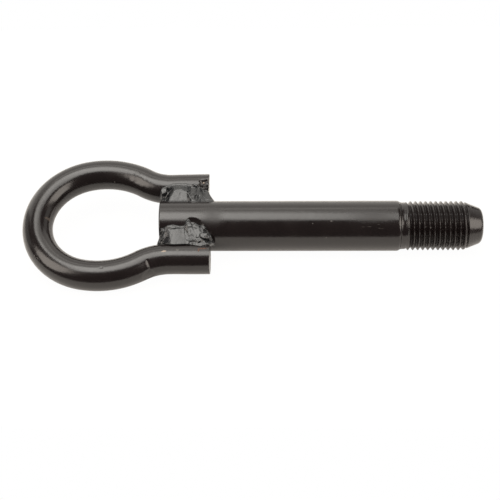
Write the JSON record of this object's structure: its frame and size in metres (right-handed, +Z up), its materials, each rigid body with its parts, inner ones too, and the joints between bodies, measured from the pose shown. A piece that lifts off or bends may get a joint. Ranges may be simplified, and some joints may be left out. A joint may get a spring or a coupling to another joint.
{
  "type": "tow eye",
  "caption": "Black painted steel towing eye: a bent round-bar loop welded by its legs to a turned shank that screws into a car's tow socket by a threaded, tapered end.",
  "frame": {"origin": "on the surface that it lies on, under the middle of its overall length and width", "axes": "+X along the shank towards the threaded tip, +Z up from the surface, +Y towards the raised side of the eye"},
  "size_m": [0.1825, 0.0587, 0.0235],
  "materials": {
    "black_paint_eye": "semi-gloss black paint on bent steel bar, with small chips and rub marks",
    "black_paint_shank": "semi-gloss black paint on turned steel, with light scratches",
    "painted_weld": "lumpy weld metal and spatter under thin black paint"
  },
  "bodies": {
    "root": {"eye_loop": "black_paint_eye", "threaded_shank": "black_paint_shank", "weld_left_top": "painted_weld", "weld_right_top": "painted_weld", "weld_left_under": "painted_weld", "weld_right_under": "painted_weld"}
  },
  "joints": []
}
